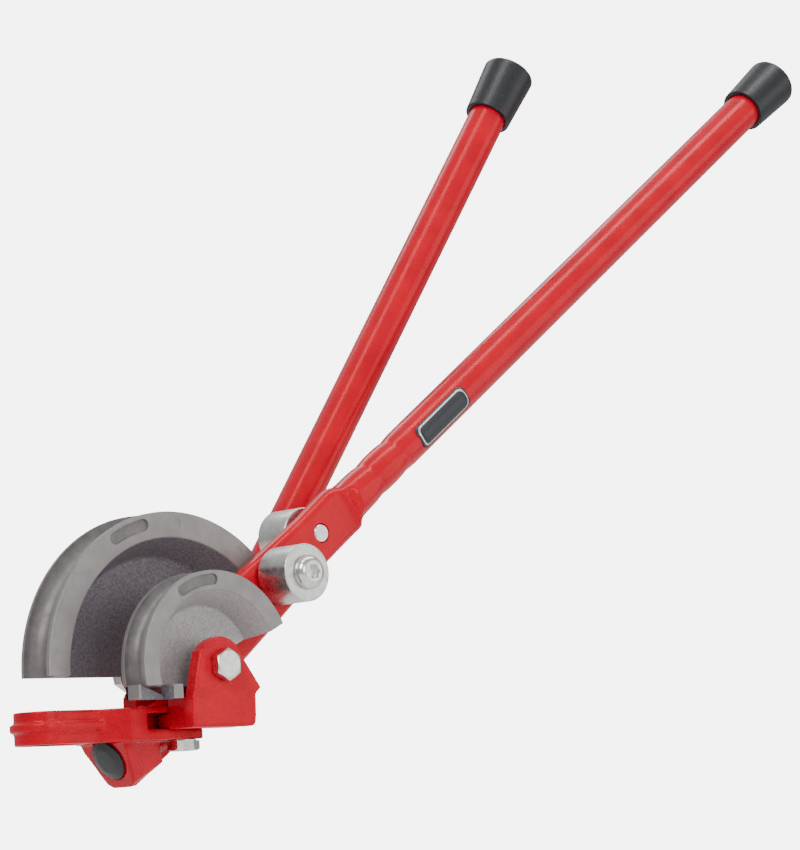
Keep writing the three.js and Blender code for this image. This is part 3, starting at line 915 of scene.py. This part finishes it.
def cast_skin(node):
    """A CAD casting with its sharp edges melted round, as enamel over a casting leaves them."""
    shape = bpy.context.scene.bender_cast
    bm = bmesh.new()
    bm.from_mesh(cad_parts[node].data)
    bmesh.ops.remove_doubles(bm, verts=bm.verts, dist=0.001 * MM)
    rough = as_object("skinning", bm)
    cells = rough.modifiers.new("cells", "REMESH")
    cells.mode = "VOXEL"
    cells.voxel_size = shape.voxel
    ease = rough.modifiers.new("ease", "SMOOTH")
    ease.factor = 0.5
    ease.iterations = shape.smooth
    fewer = rough.modifiers.new("fewer", "DECIMATE")
    fewer.ratio = 0.35
    finishes = ["enamel_cast_gloss"]
    piece(f"{node}_enamelled", applied(rough), finishes, "frame", [node], sharp=60)


# ---- handles ----


def handle_route():
    """Centre line of the fixed handle: straight, bent past the big former, straight again."""
    low, high = slope(SOCKET_ANGLE), slope(HANDLE_ANGLE)
    socket_run, bend_reach, end_run = 42, 32, 5
    bend_start = SOCKET_START + low * socket_run
    bend_end = HANDLE_FOOT + high * end_run
    lead = bend_start + low * bend_reach
    trail = bend_end - high * bend_reach
    points = [SOCKET_START + low * 0.3]
    steps = 32
    for k in range(steps + 1):
        t = k / steps
        s = 1 - t
        bend = s**3 * bend_start + 3 * s**2 * t * lead + 3 * s * t * t * trail + t**3 * bend_end
        points.append(bend)
    points.append(HANDLE_FOOT + high * HANDLE_LENGTH)
    return points


def fixed_handle_piece():
    """The fixed handle's bent tube."""
    bm = swept_tube(handle_route(), TUBE_R, TUBE_R - TUBE_WALL)
    enamelled("fixed_handle_tube", bm, "frame", "fixed_handle")


def cap_shape():
    """An end cap about +Y from its mouth: rolled lip, flared wall, soft edge, dished end."""
    inner = TUBE_R + 0.3
    mouth, end, length = CAP["mouth"], CAP["end"], CAP["length"]
    outline = rounded(
        [
            (inner, 0, 0.4),
            (mouth, 0, 0.8),
            (mouth + 0.15, 3.0, 2.0),
            (end, length - 3.5, 6.0),
            (end, length - 0.2, CAP["fillet"]),
            (end * 0.55, length, 3.0),
            (0, length, 0),
            (0, CAP["depth"], 0),
            (inner, CAP["depth"], 1.0),
        ],
        6,
    )
    return turned(outline, 80)


def fixed_cap_piece():
    """The end cap on the fixed handle."""
    high = slope(HANDLE_ANGLE)
    start = HANDLE_FOOT + high * (HANDLE_LENGTH - CAP["depth"] + 1)
    bm = placed(cap_shape(), pointing(high, start))
    vinyl("fixed_handle_end_cap", bm, "frame", "fixed_handle_cap")


def lever_cap_piece():
    """The end cap on the lever."""
    start = Vector((LEVER_END - CAP["depth"] + 1, LEVER_MIDDLE, LEVER_OFFSET))
    bm = placed(cap_shape(), on_lever() @ pointing(Vector((1, 0, 0)), start))
    vinyl("lever_end_cap", bm, "lever", "lever_cap")


def plug_piece():
    """The domed plug pressed into the handle's lower end."""
    r = TUBE_R - 0.1
    stem = TUBE_R - TUBE_WALL - 0.3
    outline = rounded(
        [
            (0, -3.2, 0),
            (r * 0.6, -2.9, 5.0),
            (r, -1.2, 2.0),
            (r, 0, 0.2),
            (stem, 0, 0.2),
            (stem, 12, 0.6),
            (stem - 2, 12, 0.6),
            (stem - 2, 1.5, 0.5),
            (0, 1.5, 0),
        ],
        6,
    )
    bm = placed(turned(outline, 64), pointing(slope(SOCKET_ANGLE), SOCKET_START))
    vinyl("handle_end_plug_moulded", bm, "frame", "handle_end_plug", sharp=40)


# Lever sections along its length: place, top edge, bottom edge, half thickness, edge radius.
LEVER_STATIONS = [
    (20, 22.0, -21.3, 6.5, 5.6),
    (40, 22.4, -21.0, 6.5, 5.6),
    (50, 22.6, -20.4, 6.5, 5.6),
    (68, 21.8, -19.4, 6.5, 5.6),
    (85, 21.0, -18.4, 6.5, 5.6),
    (105, 20.4, -16.4, 6.5, 5.6),
    (129, 19.9, -14.2, 6.5, 5.6),
    (145, 20.3, -13.9, 6.5, 5.6),
    (156, 20.6, -13.8, 6.5, 5.6),
    (160, 20.2, -13.8, 6.6, 5.7),
    (163, 19.0, -13.8, 7.2, 6.3),
    (165.5, 17.6, -13.4, 8.6, 7.6),
    (167.5, 17.2, -11.6, 10.0, 9.0),
    (169.5, 17.0, -10.0, 10.9, 10.1),
    (172, 16.9, -9.4, 11.3, 10.8),
    (178, 16.9, -9.2, 11.7, 11.3),
    (190, 16.8, -9.0, 12.1, 11.8),
    (206, 16.8, -8.8, 12.5, 12.3),
    (225, 16.7, -8.8, 12.6, 12.5),
    (240, 16.7, -8.7, 12.7, 12.7),
]

# Where the press nicked the shoulder (along the lever, above its middle) and creased the tube.
NICKS = [(168.5, 9), (168.5, -8.5)]
CREASES = [193.3, 220]


def lever_section(place, top, bottom, half, radius, corner_steps=8):
    """One section of the lever: a rounded rectangle across its length, closed."""
    middle = (top + bottom) / 2
    radius = min(radius, half, (top - bottom) / 2)
    wide = (top - bottom) / 2 - radius
    deep = half - radius
    points = []
    for corner, (up, out) in enumerate(((1, 1), (-1, 1), (-1, -1), (1, -1))):
        for k in range(corner_steps + 1):
            a = math.pi / 2 * (corner + k / corner_steps)
            n = middle + up * wide + radius * math.cos(a)
            y = LEVER_MIDDLE + out * deep + radius * math.sin(a)
            points.append(Vector((place, y, n)))
    return points


def pinch(point):
    """Marks of the press: two deep nicks at the shoulder, then creases round the tube."""
    toward = 1 if point.y < LEVER_MIDDLE else -1
    for place, level in NICKS:
        near = math.exp(-((point.x - place) ** 2 / 5 + (point.z - level) ** 2 / 8))
        if abs(point.y - LEVER_MIDDLE) > 5:
            point.y += toward * 3 * near
    middle = Vector((point.x, LEVER_MIDDLE, LEVER_OFFSET))
    for place in CREASES:
        point += (middle - point) * 0.075 * math.exp(-abs(point.x - place) / 5)
    return point


def lever_sections():
    """Every section of the lever, from the rounded eye to the tube's end."""
    sections = []
    eye_steps = 11
    for k in range(eye_steps + 1):
        a = math.pi / 2 * k / eye_steps
        place = -LEVER_EYE * math.cos(a)
        reach = max(LEVER_EYE * math.sin(a), 0.4)
        edge = min(1.0, (LEVER_EYE + place) / 6)
        rise = LEVER_EDGE * math.sqrt(max(0.0, 1 - (1 - edge) ** 2))
        sections.append((place, reach, -reach, LEVER_HALF - LEVER_EDGE + rise, LEVER_EDGE))
    for a, b in zip(LEVER_STATIONS, LEVER_STATIONS[1:]):
        steps = max(1, round((b[0] - a[0]) / 1.5))
        for k in range(steps):
            t = k / steps
            sections.append(tuple(u + (v - u) * t for u, v in zip(a, b)))
    tube_start, *tube = LEVER_STATIONS[-1]
    for place in (tube_start, 320, 400, 480, 560, 640, LEVER_END):
        sections.append((place, *tube))
    return sections


def lever_piece():
    """The lever: a tube pressed flat towards its eye, bored for the bush and the roller screws."""
    bm = bmesh.new()
    rings = []
    for section in lever_sections():
        rings.append([bm.verts.new(pinch(p) * MM) for p in lever_section(*section)])
    skin(bm, rings)
    bm.faces.new(rings[0])
    bm.faces.new(rings[-1])
    bmesh.ops.recalc_face_normals(bm, faces=bm.faces)
    bores = [(0, 0, BUSH_R + 0.15)]
    bores += [(at, LEVER_OFFSET, AXLE_R) for at in (FRONT_ROLLER_AT, REAR_ROLLER_AT)]
    drills = []
    for x, z, radius in bores:
        drill = turned([(0, 20), (radius, 20), (radius, 60), (0, 60)], 48)
        drills.append(placed(drill, Matrix.Translation(Vector((x, 0, z)) * MM)))
    bm = placed(carved(bm, drills), on_lever())
    enamelled("lever_arm_tube", bm, "lever", "lever_arm")


# ---- rollers and fasteners ----


def placed_on_lever(bm, at):
    """Moves what is turned about the bending axis to a roller's axis on the lever."""
    return placed(bm, on_lever() @ Matrix.Translation(Vector((at, 0, LEVER_OFFSET)) * MM))


def ring_outline(inner, outer, front, back, bore_edge, rim_edge):
    """Section of a bored disc, its corners eased."""
    return rounded(
        [
            (inner, front, bore_edge),
            (outer, front, rim_edge),
            (outer, back, rim_edge),
            (inner, back, bore_edge),
        ]
    )


def roller_piece(name, at):
    """A roller, turned from bar."""
    front, back = span(name)
    outline = ring_outline(AXLE_R, ROLLER_R, front, back, 0.5, 1.0)
    bm = placed_on_lever(turned(outline, 120), at)
    piece(f"{name}_turned", bm, ["steel_turned"], name, [name], sharp=35)


def button_screw(length):
    """An M12 button head socket screw along +Y, from its crown to its plain far end."""
    key, shank, crown = hexagon(4.0), 6.0, 6.2
    dome = [(0, 4.1), (key, 3.6), (key, 0.25), (5.2, 0.0)]
    steps = 8
    for k in range(1, steps + 1):
        a = math.pi / 2 * k / steps
        dome.append((5.6 + 4.9 * math.sin(a), 0.02 + (crown - 0.8) * (1 - math.cos(a))))
    tail = [(10.5, crown), (shank, crown), (shank, length - 0.9), (5.1, length), (0, length)]
    return stacked(dome + tail, 72)


def axle_piece(name, at):
    """A roller's screw, with its head on the front roller's front or the rear roller's back."""
    front, back = span(name)
    place = Matrix.Translation((0, front * MM, 0))
    if name.startswith("rear"):
        place = Matrix.Translation((0, back * MM, 0)) @ Matrix.Rotation(math.pi, 4, "X")
    bm = placed_on_lever(placed(button_screw(back - front), place), at)
    plated(f"{name}_screw", bm, "lever", name)


def hex_head_bolt(length, thread):
    """An M10 bolt along +Y from its head's face: chamfered corners, a washer face, a thread."""
    shank, pitch, head = M10["shank"], M10["pitch"], M10["head"]
    corners = hexagon(M10["flat"])
    face = 8.1
    levels = [(0, 0.15), (face - 0.6, 0.0), (face, 0.05)]
    levels.append((corners, lambda a: 0.05 + (corners(a) - face) * CHAMFER))
    levels += [(corners, head - 0.5), (8.0, head - 0.45), (8.0, head), (shank, head)]
    start = length - thread
    levels.append((shank, start))
    for k in range(int(thread / pitch) - 1):
        y = start + k * pitch
        levels += [(shank, y + 0.2), (M10["root"], y + 0.75), (shank, y + 1.3)]
    levels += [(shank, length - 1.0), (4.2, length), (0, length)]
    return stacked(levels, 72)


def pivot_bolt_piece():
    """The pivot bolt, along the bending axis."""
    front, back = span("pivot_bolt")
    plated("pivot_bolt_plated", hex_head_bolt(back - front, 14), "frame", "pivot_bolt")


def bracket_bolt_piece():
    """The bolt that holds the bracket to the casting from below."""
    low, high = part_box("bracket_bolt")
    middle = (low + high) / 2
    place = Matrix.Translation((middle.x, middle.y, low.z)) @ Matrix.Rotation(math.pi / 2, 4, "X")
    bm = placed(hex_head_bolt((high.z - low.z) / MM, 9), place)
    plated("bracket_bolt_plated", bm, "frame", "bracket_bolt")


def lock_nut_piece():
    """A locking nut: chamfered hexagon, a turned crown, and its nylon ring inside the crown."""
    front, back = span("pivot_lock_nut")
    corners = hexagon(M10["flat"])
    bearing = 8.2
    flats = back - 2.6
    steel = stacked(
        [
            (BOLT_R, front),
            (bearing - 0.2, front),
            (bearing, front + 0.05),
            (corners, lambda a: front + 0.05 + (corners(a) - bearing) * CHAMFER),
            (corners, flats),
            (7.9, flats + 0.3),
            (7.5, back - 0.4),
            (7.1, back),
            (6.6, back),
            (6.6, back - 2.0),
            (BOLT_R, back - 2.0),
            (BOLT_R, front),
        ],
        72,
    )
    ring = turned(
        rounded(
            [
                (BOLT_R, back - 1.9, 0.2),
                (6.5, back - 1.9, 0.2),
                (6.5, back - 0.5, 0.3),
                (BOLT_R, back - 0.5, 0.3),
            ]
        ),
        48,
    )
    for face in ring.faces:
        face.material_index = 1
    finishes = ["steel_zinc_plated", "nylon_moulded"]
    node = "pivot_lock_nut"
    piece(f"{node}_plated", merged(steel, ring), finishes, "frame", [node], sharp=30)


def ring_piece(name, inner, outer, body, finishes, at=None):
    """A flat ring with its pressed edges rounded."""
    front, back = span(name)
    edge = min(0.35, (back - front) / 3)
    bm = turned(ring_outline(inner, outer, front, back, edge, edge), 64)
    if at is not None:
        bm = placed_on_lever(bm, at)
    piece(f"{name}_pressed", bm, finishes, body, [name])


def cross_pin_piece():
    """The pin through the casting and the handle tube, with rolled ends."""
    low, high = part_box("handle_cross_pin")
    middle = (low + high) / 2
    front, back = span("handle_cross_pin")
    end, pin = 2.3, 3.0
    ends = [(pin, front + 0.8), (pin, back - 0.8)]
    bm = stacked([(0, front), (end, front), *ends, (end, back), (0, back)], 32)
    bm = placed(bm, Matrix.Translation((middle.x, 0, middle.z)))
    plated("handle_cross_pin_rolled", bm, "frame", "handle_cross_pin", sharp=40)


# ---- badge ----


def badge_outline(half_length, half_width, radius, steps=8):
    """A rectangle with rounded corners, as places along and round the tube, closed."""
    signs = ((1, 1), (-1, 1), (-1, -1), (1, -1))
    return rounded([(u * half_length, v * half_width, radius) for u, v in signs], steps)


def wrapped(along, around, proud):
    """A point on the lever tube's front: place along it, distance round it, height above it."""
    angle = math.pi + around / TUBE_R
    r = TUBE_R + proud
    return Vector((along, LEVER_MIDDLE + r * math.cos(angle), LEVER_OFFSET - r * math.sin(angle)))


def badge_piece():
    """A blank black plate wrapped on the lever tube, with a raised bare line round its field."""
    bm = bmesh.new()
    # Half length, half width, height above the tube, and whether the band up to there is bare.
    levels = [
        (26.5, 7.9, 0.05, False),
        (26.5, 7.9, 0.6, False),
        (26.2, 7.6, 0.75, False),
        (25.2, 6.6, 0.75, False),
        (25.0, 6.4, 0.95, True),
        (24.3, 5.7, 0.95, True),
        (24.1, 5.5, 0.7, False),
        (20.0, 3.0, 0.7, False),
        (16.0, 1.2, 0.7, False),
    ]
    rings = []
    for half_length, half_width, proud, _ in levels:
        outline = badge_outline(half_length, half_width, min(5.0, half_width * 0.9))
        points = [wrapped(BADGE_AT + u, v, proud) for u, v in outline]
        rings.append([bm.verts.new(point * MM) for point in points])
    for one, two, level in zip(rings, rings[1:], levels[1:]):
        skin(bm, [one, two], material=0 if level[3] else 1)
    bm.faces.new(rings[-1]).material_index = 1
    bmesh.ops.recalc_face_normals(bm, faces=bm.faces)
    finishes = ["plate_bare_aluminium", "plate_black_anodised"]
    piece("lever_badge_plate", placed(bm, on_lever()), finishes, "lever", sharp=60)


# ---- stage ----


def softbox(name, place, aim, size, power):
    """A rectangular area light that faces a point."""
    light = bpy.data.lights.new(name, "AREA")
    light.shape = "RECTANGLE"
    light.size, light.size_y = size
    light.energy = power
    lamp = bpy.data.objects.new(name, light)
    lamp.location = place
    lamp.rotation_euler = (Vector(aim) - Vector(place)).to_track_quat("-Z", "Y").to_euler()
    bpy.context.scene.collection.objects.link(lamp)


def studio_world():
    """A pale room: bright to look at, dimmer as a source, so that metals keep some contrast."""
    world = bpy.data.worlds.new("pale_studio")
    bpy.context.scene.world = world
    world.use_nodes = True
    tree = world.node_tree
    tree.nodes.clear()
    seen = add(tree, "ShaderNodeBackground", {"Color": linear("#F6F6F6"), "Strength": 6.6})
    way = add(tree, "ShaderNodeTexCoord").outputs["Generated"]
    height = add(tree, "ShaderNodeSeparateXYZ", {"Vector": way}).outputs["Z"]
    limits = {"From Min": -0.5, "From Max": 0.6, "To Min": 0.1, "To Max": 0.8}
    rise = add(tree, "ShaderNodeMapRange", {"Value": height, **limits}).outputs["Result"]
    lit = add(tree, "ShaderNodeBackground", {"Color": linear("#F4F5F8"), "Strength": rise})
    looked_at = add(tree, "ShaderNodeLightPath").outputs["Is Camera Ray"]
    mix = add(tree, "ShaderNodeMixShader", {"Fac": looked_at})
    tree.links.new(lit.outputs["Background"], mix.inputs[1])
    tree.links.new(seen.outputs["Background"], mix.inputs[2])
    add(tree, "ShaderNodeOutputWorld", {"Surface": mix.outputs["Shader"]})


def studio_camera():
    """A long lens, a little below the tool and looking slightly up at it."""
    data = bpy.data.cameras.new("studio_camera")
    data.sensor_fit = "VERTICAL"
    data.sensor_height = 36
    data.lens = 149.3
    data.clip_end = 50
    place = Vector((-1.3205, -1.6000, -0.1068))
    forward = Vector((0.6712, 0.7321, 0.1160)).normalized()
    roll = math.radians(3.37)
    level = forward.cross(Vector((0, 0, 1))).normalized()
    right = level * math.cos(roll) - level.cross(forward) * math.sin(roll)
    up = right.cross(forward)
    camera = bpy.data.objects.new("studio_camera", data)
    turn = Matrix((right, up, -forward)).transposed().to_4x4()
    camera.matrix_world = Matrix.Translation(place) @ turn
    bpy.context.scene.collection.objects.link(camera)
    bpy.context.scene.camera = camera


def studio_floor():
    """A wide pale floor below the tool."""
    look = bpy.context.scene.bender_stage
    mesh = bpy.data.meshes.new("studio_floor")
    reach = 6.0
    corners = [(u * reach, v * reach, 0) for u, v in ((-1, -1), (1, -1), (1, 1), (-1, 1))]
    mesh.from_pydata(corners, [], [(0, 1, 2, 3)])
    mesh.materials.append(finish("floor_painted_pale"))
    floor = bpy.data.objects.new("studio_floor", mesh)
    floor.location.z = -look.drop
    bpy.context.scene.collection.objects.link(floor)


# ---- operators ----


class BENDER_OT_stage(bpy.types.Operator):
    """Make the floor, the lights and the camera"""

    bl_idname = "bender.stage"
    bl_label = "Stage"

    def execute(self, context):
        power = context.scene.bender_stage.power
        studio_floor()
        studio_world()
        aim = (0.1, 0.05, 0.12)
        softbox("key_softbox", (-1.5, -0.9, 1.3), aim, (0.9, 0.9), power)
        softbox("overhead_strip", (0.3, -0.3, 1.5), (0.3, 0.05, 0.12), (2.2, 0.3), power * 0.5)
        softbox("front_fill", (-0.3, -2.0, 0.5), aim, (1.0, 0.8), power * 0.5)
        softbox("right_panel", (1.5, -1.65, 0.36), aim, (1.7, 1.2), power * 0.36)
        softbox("back_rim", (0.5, 1.2, 1.6), aim, (1.0, 0.6), power * 0.2)
        studio_camera()
        return {"FINISHED"}


class BENDER_OT_formers(bpy.types.Operator):
    """Turn the two grooved formers, with their hubs and the foot"""

    bl_idname = "bender.formers"
    bl_label = "Formers"

    def execute(self, context):
        small_former_piece()
        big_former_piece()
        return {"FINISHED"}


class BENDER_OT_castings(bpy.types.Operator):
    """Skin the frame casting and the front bracket"""

    bl_idname = "bender.castings"
    bl_label = "Castings"

    def execute(self, context):
        cast_skin("frame_casting")
        cast_skin("front_bracket")
        return {"FINISHED"}


class BENDER_OT_handles(bpy.types.Operator):
    """Bend the fixed handle and press the lever, with their caps and plug"""

    bl_idname = "bender.handles"
    bl_label = "Handles"

    def execute(self, context):
        fixed_handle_piece()
        fixed_cap_piece()
        plug_piece()
        lever_piece()
        lever_cap_piece()
        badge_piece()
        return {"FINISHED"}


class BENDER_OT_rollers(bpy.types.Operator):
    """Turn the two rollers and their screws and spacers"""

    bl_idname = "bender.rollers"
    bl_label = "Rollers"

    def execute(self, context):
        for side, at in (("front", FRONT_ROLLER_AT), ("rear", REAR_ROLLER_AT)):
            roller_piece(f"{side}_roller", at)
            axle_piece(f"{side}_roller_axle", at)
            spacer, zinc = f"{side}_roller_spacer", ["steel_zinc_plated"]
            ring_piece(spacer, AXLE_R, 9.5, "lever", zinc, at)
        return {"FINISHED"}


class BENDER_OT_fasteners(bpy.types.Operator):
    """Make the pivot bolt, nut, washers, bush, bracket bolt and cross pin"""

    bl_idname = "bender.fasteners"
    bl_label = "Fasteners"

    def execute(self, context):
        pivot_bolt_piece()
        bracket_bolt_piece()
        lock_nut_piece()
        cross_pin_piece()
        for washer, radius in (
            ("pivot_washer", 10),
            ("front_thrust_washer", 12),
            ("rear_thrust_washer", 12),
        ):
            ring_piece(washer, BOLT_R, radius, "frame", ["steel_zinc_plated"])
        ring_piece("pivot_bush", BOLT_R, BUSH_R, "lever", ["bronze_sintered"])
        return {"FINISHED"}


class BENDER_PT_panel(bpy.types.Panel):
    """Lists the tube bender's steps in the sidebar"""

    bl_label = "Tube bender"
    bl_idname = "BENDER_PT_panel"
    bl_space_type = "VIEW_3D"
    bl_region_type = "UI"
    bl_category = "Tube bender"

    def draw(self, context):
        for operator in OPERATORS:
            self.layout.operator(operator.bl_idname)
        for name, group in SETTINGS.items():
            box = self.layout.box()
            settings = getattr(context.scene, name)
            for prop in group.__annotations__:
                box.prop(settings, prop)


OPERATORS = (
    BENDER_OT_stage,
    BENDER_OT_formers,
    BENDER_OT_castings,
    BENDER_OT_handles,
    BENDER_OT_rollers,
    BENDER_OT_fasteners,
)


def register():
    for cls in (*SETTINGS.values(), *OPERATORS, BENDER_PT_panel):
        bpy.utils.register_class(cls)
    for name, group in SETTINGS.items():
        setattr(bpy.types.Scene, name, bpy.props.PointerProperty(type=group))


def unregister():
    for name in SETTINGS:
        delattr(bpy.types.Scene, name)
    for cls in reversed((*SETTINGS.values(), *OPERATORS, BENDER_PT_panel)):
        bpy.utils.unregister_class(cls)


def main():
    register()
    bpy.ops.bender.stage()
    bpy.ops.bender.formers()
    bpy.ops.bender.castings()
    bpy.ops.bender.handles()
    bpy.ops.bender.rollers()
    bpy.ops.bender.fasteners()


if __name__ == "__main__":
    main()
